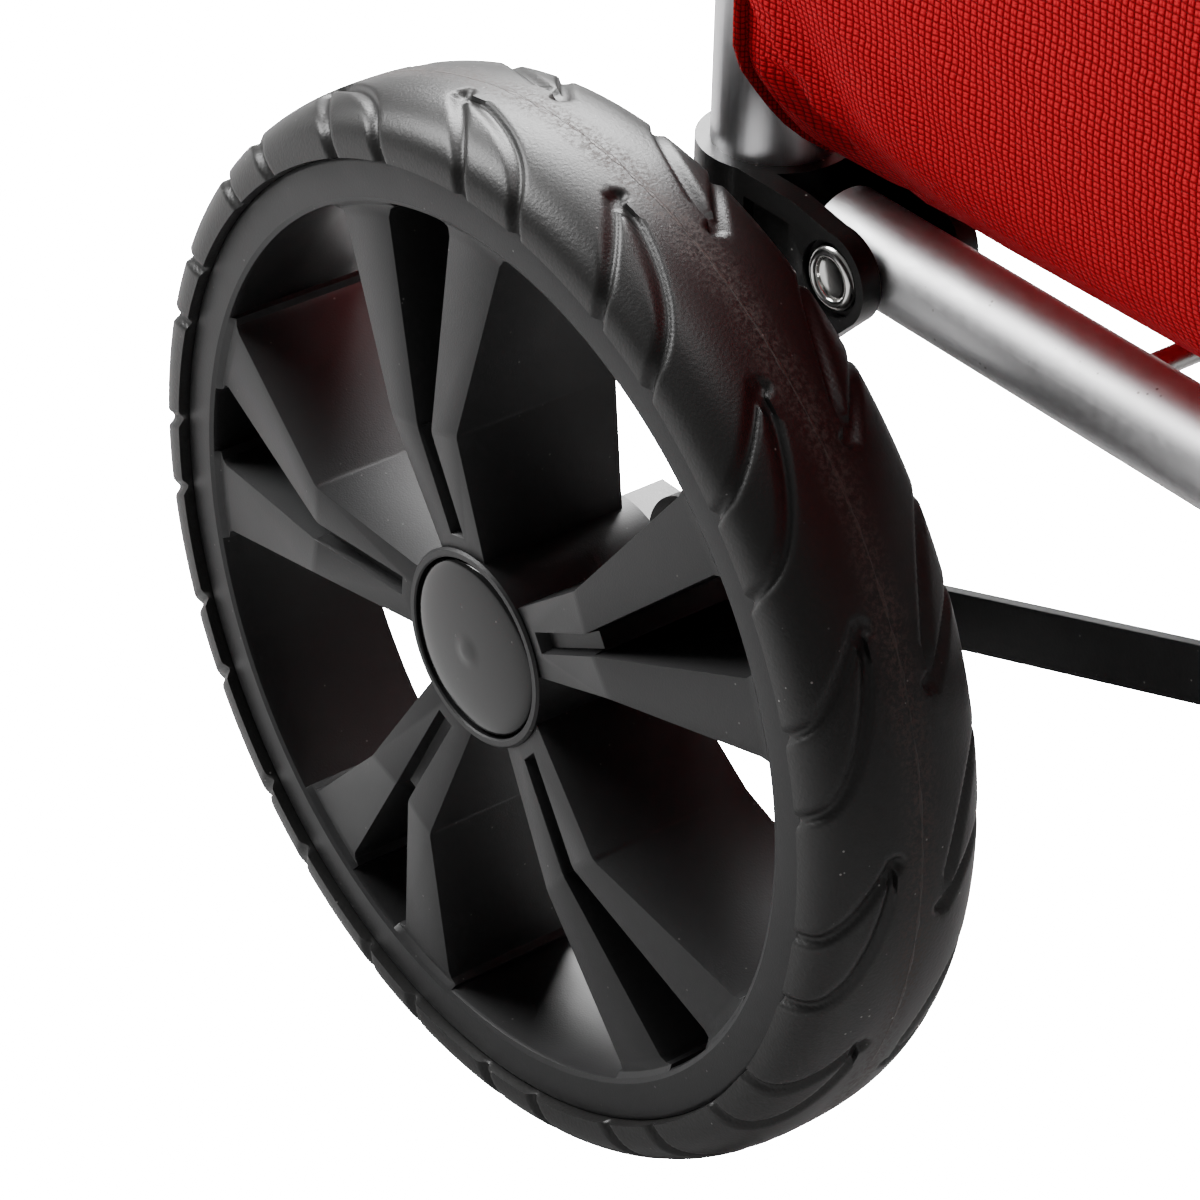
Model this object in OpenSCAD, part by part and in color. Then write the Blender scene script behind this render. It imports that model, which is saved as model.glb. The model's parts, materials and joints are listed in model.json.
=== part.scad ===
// Folding two-wheeled hand truck with a fabric bag, in millimetres.
// +X is forward, +Z is up, the origin is on the floor under the middle of the whole object.
// Modules are written about the axle: X forward and Z up from its centre line, Y = 0 midway.

/* [Wheels] */
// Outside radius of the tyre
wheel_r = 110; // [106:1:114]
// Radius where the tyre meets the rim
rim_r = 98.2; // [96:0.2:100]
// Width of the tyre
tyre_w = 39.3; // [36:0.1:40]
// Height of the spoke crease above the rim's face
spoke_crown = 4; // [1:0.5:6]
// Number of twin spokes
spokes = 5; // [4:1:6]

/* [Frame] */
// Distance from the middle to each upright's centre line
upright_y = 150; // [146:1:151]
// Outside diameter of the upright tube
upright_d = 25; // [24:0.5:25]
// Outside diameter of the platform tube
rail_d = 19; // [18:0.5:19]
// Height of the uprights' top above the axle
upright_top = 640; // [630:5:660]
// Height of the handle's crosspiece above the axle
handle_top = 900; // [860:5:920]

/* [Platform] */
// Height of the platform's hinge above the axle
hinge_z = 79.6; // [79:0.2:80]
// Distance of the platform's hinge in front of the axle
hinge_x = 35.5; // [35:0.5:37]
// Distance from the axle to the platform's front tube
platform_front = 292; // [285:1:300]

/* [Bag] */
// Height of the bag's top edge above the axle
bag_top = 598; // [560:2:600]
// Half the bag's width where it is widest
bag_half_w = 175; // [165:1:177]
// Depth of the bag from back to front
bag_depth = 250; // [230:1:252]

/* [Hidden] */
$fn = 96;
eps = 0.5;                      // overlap that makes a cut pass right through
fit = 0.05;                     // radial clearance of a running fit
wall = 1.2;                     // tube wall
face_y = 219;                   // the rim's outer face, from the middle
rim_depth = 35;                 // rim face to the rim's inner side
hub_r = 20.6;
band_r = 89.2;                  // inside radius of the rim's outer band
cap_r = 18.2;
axle_r = 5;
hub_bore_r = 7;
upright_x = 2.5;
upright_r = upright_d / 2;
rail_r = rail_d / 2;
collar_r = upright_r + 2.9;
cheek_r = 9.6;                  // round end of a bracket cheek
cheek_w = 4.5;
cheek_gap = rail_r + 0.3;       // rail centre line to a cheek's inner side
bracket_top = 91;
bracket_low = 60;
bracket_pin_z = 67;
bracket_pin_r = 2;
rivet_r = 3;
head_r = 6.2;                   // rivet head
head_seat_r = 7.6;
strut_x = 2.5;                  // lower pivot of the strut
strut_z = -20;
strut_rise = 19.53;             // slope of the strut at rest, in degrees
strut_h = 12.5;
strut_t = 2.6;
strut_y = 130.3;                // middle of the strut's thickness
strut_reach = 252;              // strut pivot to the stand rod
fork_half = 4.25;
stand_rod_r = 3;
stand_x = strut_x + strut_reach * cos(strut_rise);
stand_z = strut_z + strut_reach * sin(strut_rise);
stand_y = 112;
stand_r = 8;
foot_t = 3;
rod_r = 2.5;
rod_xs = [94, 150, 206];
corner_r = 45;                  // bend of the platform tube
hanger_y = 139;
cross_r = 8;
low_cross_z = 103;
top_cross_z = 560;
tube_low = -32;                 // lower end of the uprights
handle_r = upright_r - wall - fit;
handle_low = upright_top - 160; // lower end of the handle inside the uprights
handle_bend = 60;
grip_r = 16.5;
grip_half = 76;
bag_back = 17;
bag_low = 83.2;
bag_t = 2.5;
front_max = platform_front + rail_r;
shift_x = (wheel_r - front_max) / 2;
rubber = [0.10, 0.10, 0.10];
plastic = [0.18, 0.18, 0.18];
silver = [0.72, 0.73, 0.75];
steel = [0.62, 0.62, 0.64];
red = [0.75, 0.10, 0.12];

// Places a module written about the axle in the object's own frame.
module place() {
    translate([shift_x, 0, wheel_r]) children();
}

// The right side is at -Y. side = -1 keeps a right-hand module there, side = 1 mirrors it to +Y.
module on_side(side) {
    if (side < 0) children();
    else mirror([0, 1, 0]) children();
}

module both_sides() {
    on_side(-1) children();
    on_side(1) children();
}

// A cylinder along Y from y0 to y1 through (x, z).
module y_rod(x, z, r, y0, y1) {
    translate([x, max(y0, y1), z]) rotate([90, 0, 0]) cylinder(r = r, h = abs(y1 - y0));
}

// ---- Wheels: written with the outer face at Z = 0 and the inside towards +Z, then turned.
module wheel_place(side) {
    place() on_side(side) translate([0, -face_y, 0]) rotate([-90, 0, 0]) children();
}

module tyre_profile() {
    half = tyre_w / 2;
    lift = wheel_r - rim_r;
    steps = 14;
    bulge = 2.6;
    translate([rim_r, half - 2]) polygon(concat(
        [[0.05, half], [0.05, -half]],
        [for (i = [0 : 2 * steps])
            let (a = -90 + 180 * i / (2 * steps))
            [0.4 + (lift - 0.4) * pow(cos(a), 2 / bulge), sign(a) * half * pow(abs(sin(a)), 2 / bulge)]]));
}

module tyre(side) {
    color(rubber) wheel_place(side) rotate_extrude() tyre_profile();
}

// Outline of one twin spoke about its own centre line, from the hub to the outer band.
module twin_outline() {
    half = [[18, 6.6], [19.3, 7.0], [47.8, 10.5], [85.1, 25.4], [92, 28.1]];
    polygon(concat(half, [for (i = [len(half) - 1 : -1 : 0]) [half[i][0], -half[i][1]]]));
}

module twin_window() {
    polygon([[46.9, 2.1], [87.6, 9.9], [89.2, 8.6], [90.1, 0], [89.2, -8.6], [87.6, -9.9], [46.9, -2.1]]);
}

// Height of the spokes' face: level at the hub, proud at the crease and just below the band.
module spoke_face_body() {
    rotate_extrude() polygon([[0, rim_depth - 1], [0, 0.6], [hub_r - 1, 0.6], [48.6, -spoke_crown],
        [88.4, 1.6], [93, 1.6], [93, rim_depth - 1]]);
}

module twin_spoke() {
    groove_depth = 3.2;
    groove_half = 2.3;
    difference() {
        intersection() {
            translate([0, 0, -spoke_crown - 1]) linear_extrude(rim_depth + spoke_crown + 1)
                difference() {
                    twin_outline();
                    twin_window();
                }
            spoke_face_body();
        }
        translate([hub_r + 1.5, -groove_half, -spoke_crown - 1])
            cube([27, 2 * groove_half, spoke_crown + 1 + groove_depth - 1.5]);
    }
}

module rim_turned() {
    spoke_phase = 31.1;
    // outer band with a step that holds the tyre
    rotate_extrude() polygon([[band_r, 1.2], [band_r + 1.2, 0], [rim_r, 0], [rim_r, rim_depth],
        [band_r + 2, rim_depth]]);
    difference() {
        union() {
            cylinder(r = hub_r, h = rim_depth + 1.8);
            for (i = [0 : spokes - 1])
                rotate([0, 0, -(spoke_phase + i * 360 / spokes)]) twin_spoke();
        }
        translate([0, 0, -spoke_crown - 1]) cylinder(r = cap_r + 0.4, h = 4 + spoke_crown + 1);
        translate([0, 0, 3]) cylinder(r = 12, h = 9);
        translate([0, 0, -eps]) cylinder(r = hub_bore_r, h = rim_depth + 5);
    }
}

module rim(side) {
    color(plastic) wheel_place(side) rim_turned();
}

module hub_cap(side) {
    dome = 2.4;
    ball = (cap_r * cap_r + dome * dome) / (2 * dome);
    color(rubber) wheel_place(side) {
        translate([0, 0, 1]) cylinder(r = cap_r, h = 2.9);
        intersection() {
            translate([0, 0, ball - dome + 1]) sphere(r = ball, $fn = 128);
            translate([0, 0, -dome]) cylinder(r = cap_r, h = dome + 1);
        }
    }
}

module hub_bushes(side) {
    color("gainsboro") wheel_place(side) {
        difference() {
            translate([0, 0, 12]) cylinder(r = hub_bore_r, h = 10);
            cylinder(r = axle_r + fit, h = 60);
        }
        difference() {
            union() {
                translate([0, 0, rim_depth - 10]) cylinder(r = hub_bore_r, h = 11.8);
                translate([0, 0, rim_depth + 1.8]) cylinder(r = 10, h = 1.5);
            }
            cylinder(r = axle_r + fit, h = 60);
        }
    }
}

// ---- Axle: a stub on each side, held in the bracket, so the middle stays open.
axle_end = face_y - 5;
axle_root = upright_y - collar_r - 1;
hub_inner = face_y - rim_depth - 3.3;
module axle() {
    color(steel) place() both_sides() y_rod(0, 0, axle_r, -axle_end, -axle_root);
}

module axle_spacers() {
    color(steel) place() both_sides() difference() {
        y_rod(0, 0, 8, -hub_inner + 0.2, -upright_y - collar_r - 0.1);
        y_rod(0, 0, axle_r, -face_y, 0);
    }
}

module axle_push_nuts() {
    color(steel) place() both_sides() difference() {
        union() {
            y_rod(0, 0, 9, -face_y + 10.8, -face_y + 9.6);
            y_rod(0, 0, 7, -face_y + 9.6, -face_y + 7.2);
        }
        y_rod(0, 0, axle_r, -face_y, 0);
    }
}

// ---- Uprights and the U-shaped handle that slides in them.
module upright(side) {
    color(silver) place() on_side(side) difference() {
        translate([upright_x, -upright_y, tube_low]) cylinder(r = upright_r, h = upright_top - tube_low);
        translate([upright_x, -upright_y, tube_low - eps])
            cylinder(r = upright_r - wall, h = upright_top - tube_low + 2 * eps);
        y_rod(0, 0, axle_r, -face_y, 0);
        y_rod(strut_x, strut_z, 3, -face_y, 0);
        y_rod(upright_x, bracket_pin_z, bracket_pin_r, -face_y, 0);
    }
}

module half_handle(r) {
    low = handle_low - (r < handle_r ? eps : 0);
    translate([upright_x, -upright_y, low]) cylinder(r = r, h = handle_top - handle_bend - low);
    translate([upright_x, -upright_y + handle_bend, handle_top - handle_bend]) rotate([90, 0, 90])
        rotate([0, 0, 90]) rotate_extrude(angle = 90) translate([handle_bend, 0]) circle(r = r);
    y_rod(upright_x, handle_top, r, -upright_y + handle_bend, 0.01);
}

module handle_tube() {
    color(silver) place() difference() {
        both_sides() half_handle(handle_r);
        both_sides() half_handle(handle_r - wall);
    }
}

module handle_grip() {
    color(rubber) place() difference() {
        y_rod(upright_x, handle_top, grip_r, -grip_half, grip_half);
        y_rod(upright_x, handle_top, handle_r, -grip_half - eps, grip_half + eps);
    }
}

module handle_collars() {
    color(plastic) place() both_sides() difference() {
        translate([upright_x, -upright_y, upright_top - 22]) cylinder(r = collar_r, h = 32);
        translate([upright_x, -upright_y, upright_top - 30]) cylinder(r = upright_r, h = 30);
        translate([upright_x, -upright_y, upright_top - eps]) cylinder(r = handle_r + fit, h = 20);
    }
}

module cross_tube(z) {
    color(silver) place() difference() {
        y_rod(upright_x, z, cross_r, -upright_y, upright_y);
        y_rod(upright_x, z, cross_r - wall, -upright_y - eps, upright_y + eps);
        both_sides() translate([upright_x, -upright_y, z - 20]) cylinder(r = upright_r, h = 40);
    }
}

// ---- Axle bracket: sleeve round the foot of the upright, with a rear lug.
module axle_bracket(side) {
    sleeve_top = 20;
    floor_t = 2;
    color(plastic) place() on_side(side) difference() {
        union() {
            translate([upright_x, -upright_y, tube_low - floor_t])
                cylinder(r = collar_r, h = sleeve_top - tube_low + floor_t);
            y_rod(0, 0, 13, -upright_y - collar_r, -upright_y + collar_r);
            translate([-36, -upright_y - 7, -24]) cube([30, 14, 16]);
        }
        translate([upright_x, -upright_y, tube_low]) cylinder(r = upright_r, h = sleeve_top - tube_low + eps);
        y_rod(0, 0, axle_r, -face_y, 0);
        y_rod(strut_x, strut_z, 3, -face_y, 0);
        y_rod(-28, -16, 2, -face_y, 0);
    }
}

module strut_bolts() {
    inner = -strut_y + strut_t / 2;
    color(steel) place() both_sides() {
        y_rod(strut_x, strut_z, 3, -upright_y - collar_r - 2.5, inner + 3.5);
        translate([strut_x, inner + 3.5, strut_z]) rotate([90, 0, 0]) cylinder(r = 5.5, h = 3.4, $fn = 6);
        y_rod(strut_x, strut_z, 5.5, -upright_y - collar_r - 2.5, -upright_y - collar_r);
    }
}

module strut_spacers() {
    color(steel) place() both_sides() difference() {
        y_rod(strut_x, strut_z, 7, -upright_y + collar_r, -strut_y - strut_t / 2 - 0.1);
        y_rod(strut_x, strut_z, 3, -face_y, 0);
    }
}

module lug_pins() {
    color(steel) place() both_sides() y_rod(-28, -16, 2, -upright_y - 8.5, -upright_y + 8.5);
}

// ---- Pivot bracket: collar on the upright with two cheeks that hold the platform tube.
module cheek(y0, y1) {
    fall_x = 24;                // where the level top edge starts to fall
    foot_x = 31.5;              // where the slanting lower edge ends
    foot_z = bracket_low + 2.1;
    y_rod(hinge_x, hinge_z, cheek_r, y0, y1);
    translate([0, max(y0, y1), 0]) rotate([90, 0, 0]) linear_extrude(abs(y1 - y0))
        polygon([[upright_x, bracket_top], [fall_x, bracket_top], [hinge_x + 1, hinge_z + cheek_r - 0.3],
            [hinge_x + 6.6, hinge_z - 6.9], [foot_x, foot_z], [upright_x, bracket_low]]);
}

module pivot_bracket(side) {
    outer = -upright_y - cheek_gap;
    inner = -upright_y + cheek_gap;
    color(plastic) place() on_side(side) difference() {
        union() {
            translate([upright_x, -upright_y, bracket_low]) cylinder(r = collar_r, h = bracket_top - bracket_low);
            cheek(outer - cheek_w, outer);
            cheek(inner, inner + cheek_w);
        }
        translate([upright_x, -upright_y, 0]) cylinder(r = upright_r, h = 200);
        y_rod(hinge_x, hinge_z, rivet_r, -face_y, 0);
        y_rod(upright_x, bracket_pin_z, bracket_pin_r, -face_y, 0);
        // seat round the rivet head, and a pocket behind it
        y_rod(hinge_x, hinge_z, head_seat_r, outer - cheek_w - eps, outer - cheek_w + 1.6);
        y_rod(hinge_x, hinge_z, head_seat_r, inner + cheek_w - 1.6, inner + cheek_w + eps);
        translate([upright_x + 8, outer - cheek_w - eps, bracket_low + 7]) cube([13, eps + 2.6, 19]);
    }
}

module pivot_rivets() {
    outer = upright_y + cheek_gap + cheek_w;
    inner = upright_y - cheek_gap - cheek_w;
    cup = 3.6;
    color(silver) place() both_sides() difference() {
        union() {
            y_rod(hinge_x, hinge_z, rivet_r, -outer + 0.2, -inner - 0.2);
            y_rod(hinge_x, hinge_z, head_r, -outer + 1.6, -outer + 0.1);
            y_rod(hinge_x, hinge_z, head_r, -inner - 1.6, -inner - 0.1);
        }
        y_rod(hinge_x, hinge_z, cup / 2, -outer - eps, -outer + 6);
    }
}

module bracket_pins() {
    color(steel) place() both_sides() {
        y_rod(upright_x, bracket_pin_z, bracket_pin_r, -upright_y - collar_r - 1, -upright_y - upright_r + 2);
        y_rod(upright_x, bracket_pin_z, bracket_pin_r, -upright_y + upright_r - 2, -upright_y + collar_r + 1);
    }
}

// ---- Platform: U-shaped tube that turns on the rivets.
module half_platform(r) {
    back = r < rail_r ? eps : 0;
    start = hinge_x - 11.5;
    translate([start - back, -upright_y, hinge_z]) rotate([0, 90, 0])
        cylinder(r = r, h = platform_front - corner_r - start + back);
    translate([platform_front - corner_r, -upright_y + corner_r, hinge_z])
        rotate([0, 0, -90]) rotate_extrude(angle = 90) translate([corner_r, 0]) circle(r = r);
    y_rod(platform_front, hinge_z, r, -upright_y + corner_r, 0.01);
}

module platform_tube() {
    color(silver) place() difference() {
        both_sides() half_platform(rail_r);
        both_sides() half_platform(rail_r - wall);
        y_rod(hinge_x, hinge_z, rivet_r + fit, -face_y, face_y);
        for (x = rod_xs) y_rod(x, hinge_z, rod_r, -upright_y, upright_y);
    }
}

module platform_rods() {
    color(steel) place() for (x = rod_xs) y_rod(x, hinge_z, rod_r, -upright_y + 3, upright_y - 3);
}

module stand_hangers() {
    hanger_half = 8;
    color(steel) place() both_sides() difference() {
        union() {
            translate([stand_x - hanger_half, -hanger_y - 3, stand_z - 2])
                cube([2 * hanger_half, 3, hinge_z - stand_z + 2]);
            y_rod(stand_x, stand_z - 2, hanger_half, -hanger_y - 3, -hanger_y);
        }
        y_rod(stand_x, stand_z, stand_rod_r, -face_y, 0);
        translate([stand_x - 20, -upright_y, hinge_z]) rotate([0, 90, 0]) cylinder(r = rail_r, h = 40);
    }
}

module stand_rod() {
    color(steel) place() y_rod(stand_x, stand_z, stand_rod_r, -hanger_y - 6, hanger_y + 6);
}

module rod_end_caps() {
    color(steel) place() both_sides() difference() {
        y_rod(stand_x, stand_z, 5, -hanger_y - 5.2, -hanger_y - 3);
        y_rod(stand_x, stand_z, stand_rod_r, -face_y, 0);
    }
}

// ---- Strut: flat bar from the axle bracket to an open hook under the stand rod. The hook's
// mouth points the way the rod leaves it as the platform folds.
module strut(side) {
    tip = strut_reach + 5;
    mouth_angle = 41;
    color(rubber) place() on_side(side)
        translate([strut_x, -strut_y + strut_t / 2, strut_z]) rotate([0, -strut_rise, 0])
            rotate([90, 0, 0]) linear_extrude(strut_t) difference() {
                union() {
                    circle(d = strut_h);
                    translate([0, -strut_h / 2]) square([tip, strut_h]);
                }
                circle(r = 3 + fit);
                translate([strut_reach, 0]) rotate(mouth_angle) hull() {
                    circle(r = fork_half);
                    translate([20, 0]) circle(r = fork_half);
                }
            }
}

// ---- Stand: U-shaped tube that hangs from the rod and folds back under the platform.
stand_low = -wheel_r + foot_t + stand_r;
stand_bend = 28;
module half_stand(r) {
    translate([stand_x, -stand_y, stand_low + stand_bend]) cylinder(r = r, h = stand_z + 7 - stand_low - stand_bend);
    translate([stand_x, -stand_y + stand_bend, stand_low + stand_bend]) rotate([90, 0, 90])
        rotate([0, 0, 180]) rotate_extrude(angle = 90) translate([stand_bend, 0]) circle(r = r);
    y_rod(stand_x, stand_low, r, -stand_y + stand_bend, 0.01);
}

module stand_tube() {
    color(silver) place() difference() {
        both_sides() half_stand(stand_r);
        difference() {
            both_sides() half_stand(stand_r - wall);
            translate([stand_x - 10, -stand_y - 10, stand_z + 4.5]) cube([20, 2 * stand_y + 20, 10]);
        }
        y_rod(stand_x, stand_z, 4.5, -face_y, face_y);
    }
}

module stand_bushes() {
    color("gainsboro") place() both_sides() difference() {
        union() {
            y_rod(stand_x, stand_z, 4.5, -stand_y - stand_r - 1.5, -stand_y + stand_r + 1.5);
            y_rod(stand_x, stand_z, 6.5, -stand_y - stand_r - 1.5, -stand_y - stand_r);
            y_rod(stand_x, stand_z, 6.5, -stand_y + stand_r, -stand_y + stand_r + 1.5);
        }
        y_rod(stand_x, stand_z, stand_rod_r + fit, -face_y, 0);
    }
}

module stand_feet() {
    foot_y0 = -75;
    foot_y1 = -35;
    color(rubber) place() both_sides() difference() {
        union() {
            y_rod(stand_x, stand_low, stand_r + 2.6, foot_y0, foot_y1);
            translate([stand_x - 9, foot_y0, -wheel_r]) cube([18, foot_y1 - foot_y0, foot_t + 4]);
        }
        y_rod(stand_x, stand_low, stand_r, foot_y0 - eps, foot_y1 + eps);
        translate([stand_x - 20, foot_y0 - eps, stand_low + 4]) cube([40, foot_y1 - foot_y0 + 2 * eps, 20]);
    }
}

// ---- Bag
module bag_form(inset) {
    low_r = 14;
    low_y = 113;                // keeps the lower corners clear of the brackets
    side_r = 10;
    belly_z = bag_low + 62;
    back = bag_back;
    front = bag_back + bag_depth;
    hull() {
        for (x = [back + low_r, front - low_r], y = [-low_y, low_y])
            translate([x, y, bag_low + low_r]) sphere(r = low_r - inset, $fn = 32);
        for (x = [back + side_r, front - side_r], y = [-1, 1])
            translate([x, y * (bag_half_w - side_r), belly_z]) sphere(r = side_r - inset, $fn = 32);
        for (x = [back + side_r, front - side_r], y = [-1, 1])
            translate([x, y * (bag_half_w - side_r - 6), bag_top - 20])
                cylinder(r = side_r - inset, h = inset > 0 ? 30 : 20, $fn = 32);
    }
}

module bag_shell() {
    color(red) place() difference() {
        bag_form(0);
        bag_form(bag_t);
    }
}

module bag_board() {
    color(rubber) place() translate([bag_back + 30, -105, bag_low + bag_t + 0.3])
        cube([bag_depth - 60, 210, 2.2]);
}

module bag_loops() {
    loop_w = 25;
    color(red) place() for (y = [-80, 80]) translate([upright_x, y + loop_w / 2, top_cross_z])
        rotate([90, 0, 0]) linear_extrude(loop_w) difference() {
            union() {
                circle(r = cross_r + 2);
                translate([0, -38]) square([bag_back - upright_x - 0.2, 38 + cross_r + 2]);
            }
            circle(r = cross_r + 0.3);
            translate([-20, -60]) square([20 + cross_r + 0.3, 60]);
        }
}

module loop_hooks() {
    color(plastic) place() for (y = [-50, 50]) translate([upright_x, y + 7, top_cross_z])
        rotate([90, 0, 0]) linear_extrude(14) difference() {
            circle(r = cross_r + 3);
            circle(r = cross_r);
            translate([-20, -6]) square([20, 12]);
        }
}

tyre(-1);  // right_tyre
rim(-1);  // right_rim
hub_cap(-1);  // right_hub_cap
hub_bushes(-1);  // right_hub_bushes
tyre(1);  // left_tyre
rim(1);  // left_rim
hub_cap(1);  // left_hub_cap
hub_bushes(1);  // left_hub_bushes
axle();
axle_spacers();
axle_push_nuts();
upright(-1);  // right_upright
upright(1);  // left_upright
handle_tube();
handle_collars();
cross_tube(low_cross_z);  // lower_cross_tube
cross_tube(top_cross_z);  // upper_cross_tube
handle_grip();
axle_bracket(-1);  // right_axle_bracket
axle_bracket(1);  // left_axle_bracket
strut_bolts();
strut_spacers();
lug_pins();
pivot_bracket(-1);  // right_pivot_bracket
pivot_bracket(1);  // left_pivot_bracket
pivot_rivets();
bracket_pins();
platform_tube();
platform_rods();
stand_hangers();
stand_rod();
rod_end_caps();
strut(-1);  // right_strut
strut(1);  // left_strut
stand_tube();
stand_bushes();
stand_feet();
bag_shell();
bag_board();
bag_loops();
loop_hooks();
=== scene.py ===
import json
import math

import bmesh
import bpy
import numpy as np
from mathutils import Matrix, Vector


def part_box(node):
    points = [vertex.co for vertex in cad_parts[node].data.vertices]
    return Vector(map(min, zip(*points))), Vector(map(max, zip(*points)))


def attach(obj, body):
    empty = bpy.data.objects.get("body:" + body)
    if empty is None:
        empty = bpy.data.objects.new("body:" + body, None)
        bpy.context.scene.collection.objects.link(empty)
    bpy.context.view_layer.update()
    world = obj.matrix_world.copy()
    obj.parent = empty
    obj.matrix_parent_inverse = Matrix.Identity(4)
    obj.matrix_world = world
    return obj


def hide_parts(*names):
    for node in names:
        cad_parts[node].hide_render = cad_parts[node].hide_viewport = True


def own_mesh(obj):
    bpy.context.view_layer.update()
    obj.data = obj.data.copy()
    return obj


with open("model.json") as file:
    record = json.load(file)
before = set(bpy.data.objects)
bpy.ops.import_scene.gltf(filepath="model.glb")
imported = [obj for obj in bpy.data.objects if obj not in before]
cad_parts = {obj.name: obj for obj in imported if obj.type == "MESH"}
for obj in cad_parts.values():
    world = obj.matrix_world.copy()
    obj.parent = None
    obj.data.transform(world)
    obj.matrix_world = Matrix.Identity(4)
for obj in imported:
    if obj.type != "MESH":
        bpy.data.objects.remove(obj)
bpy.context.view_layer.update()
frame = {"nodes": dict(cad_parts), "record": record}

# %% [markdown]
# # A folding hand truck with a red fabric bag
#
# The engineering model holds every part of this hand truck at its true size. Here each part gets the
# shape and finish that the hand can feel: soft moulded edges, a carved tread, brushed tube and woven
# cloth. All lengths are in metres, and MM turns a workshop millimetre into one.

MM = 0.001
body_of_node = {
    node: body
    for body, its_nodes in frame["record"]["behaviour"]["bodies"].items()
    for node in its_nodes
}
print("parts in the model:", len(body_of_node))

# %% [markdown]
# The wheel is the piece that everything is measured from. Its rim gives the axle's place, the radius
# where rubber meets plastic, and the plane of the outer face. The spokes' creases stand proud of that
# plane, so the face is a little inside the rim's own box.

# %% Measures taken from the wheel and the bag
rim_low, rim_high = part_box("right_rim")
axle_x = (rim_low.x + rim_high.x) / 2
axle_z = (rim_low.z + rim_high.z) / 2
rim_radius = (rim_high.z - rim_low.z) / 2
spoke_crown = 4 * MM
face_y = -rim_low.y - spoke_crown
rim_depth = 35 * MM
tyre_low, tyre_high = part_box("right_tyre")
tyre_radius = (tyre_high.z - tyre_low.z) / 2
tyre_half = (tyre_high.y - tyre_low.y) / 2
tyre_proud = -tyre_low.y - face_y
bag_low, bag_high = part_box("bag_shell")
print(f"wheel {2 * tyre_radius / MM:.0f} mm across, rim face at {face_y / MM:.1f} mm from the middle")

# %% [markdown]
# ## The view and the light
#
# A long lens close above the wheel's front keeps the circles nearly true. The camera is placed by
# its distance from the middle of the wheel's face, so it follows the model if the wheel moves.

# %% Camera
wheel_face = Vector((axle_x, -face_y, axle_z))
camera_data = bpy.data.cameras.new("studio_camera")
camera_data.lens = 139.4
camera_data.sensor_width = 36
camera_data.clip_start = 0.01
camera = bpy.data.objects.new("studio_camera", camera_data)
bpy.context.scene.collection.objects.link(camera)
to_right = Vector((0.6183, 0.7857, 0.0201)).normalized()
towards = Vector((-0.6471, 0.5235, -0.5542)).normalized()
to_top = to_right.cross(towards).normalized()
to_right = towards.cross(to_top).normalized()
turn = Matrix((to_right, to_top, -towards)).transposed().to_4x4()
camera_place = wheel_face + Vector((0.5906, -0.4468, 0.5047))
camera.matrix_world = Matrix.Translation(camera_place) @ turn
bpy.context.scene.camera = camera
print("camera stands", round((camera.location - wheel_face).length, 3), "m from the wheel")

# %% [markdown]
# Product shots use big soft sources: a key from the rear left, an overhead panel, and a third panel
# behind the wheel for the top of the tyre. The room stays dim, so that black plastic stays black.
# Plastic like this shows its facets only through what it mirrors, so the panels' places matter more
# than their power.

# %% Floor, room and lamps
def soft_panel(name, place, aim, width, height, power):
    data = bpy.data.lights.new(name, "AREA")
    data.shape = "RECTANGLE"
    data.size = width
    data.size_y = height
    data.energy = power
    lamp = bpy.data.objects.new(name, data)
    lamp.location = place
    lamp.rotation_mode = "QUATERNION"
    lamp.rotation_quaternion = (aim - place).to_track_quat("-Z", "Y")
    bpy.context.scene.collection.objects.link(lamp)
    return lamp


floor_bm = bmesh.new()
bmesh.ops.create_grid(floor_bm, x_segments=1, y_segments=1, size=6)
floor_mesh = bpy.data.meshes.new("studio_floor")
floor_bm.to_mesh(floor_mesh)
floor_bm.free()
floor = bpy.data.objects.new("studio_floor", floor_mesh)
bpy.context.scene.collection.objects.link(floor)

room = bpy.data.worlds.new("studio_room")
room.use_nodes = True
room.node_tree.nodes["Background"].inputs["Color"].default_value = (1, 1, 1, 1)
room.node_tree.nodes["Background"].inputs["Strength"].default_value = 0.16
bpy.context.scene.world = room

key_place = wheel_face + Vector((-1.5, -0.7, 1.3))
soft_panel("key_panel", key_place, wheel_face, 0.9, 0.9, 58)
top_place = wheel_face + Vector((0.2, 0.3, 2.2))
soft_panel("top_panel", top_place, wheel_face, 1.2, 1.2, 24)
back_place = wheel_face + Vector((-1.05, 0.85, 1.05))
soft_panel("back_panel", back_place, wheel_face, 0.8, 0.8, 62)

# %% [markdown]
# ## Finishes
#
# Every finish is a Principled shader whose fixed values sit on its own sockets. What changes over a
# surface, such as grain, dust, brush lines and weave, comes from small groups that several finishes
# share. Grain, dust and brush lines read Object coordinates, which never slide on a part that turns,
# and the weave reads flat coordinates that are stored on the cloth.

# %% Helpers for finishes
def new_finish(name, **fixed):
    finish = bpy.data.materials.new(name)
    finish.use_nodes = True
    shader = finish.node_tree.nodes["Principled BSDF"]
    for socket, value in fixed.items():
        shader.inputs[socket.replace("_", " ")].default_value = value
    return finish, finish.node_tree, shader


def new_group(name, inputs, outputs):
    group = bpy.data.node_groups.new(name, "ShaderNodeTree")
    for title, kind, start in inputs:
        socket = group.interface.new_socket(name=title, in_out="INPUT", socket_type=kind)
        if start is not None:
            socket.default_value = start
    for title, kind in outputs:
        group.interface.new_socket(name=title, in_out="OUTPUT", socket_type=kind)
    return group, group.nodes.new("NodeGroupInput"), group.nodes.new("NodeGroupOutput")


def place_group(tree, group, **values):
    node = tree.nodes.new("ShaderNodeGroup")
    node.node_tree = group
    for title, value in values.items():
        node.inputs[title.replace("_", " ")].default_value = value
    return node


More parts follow.
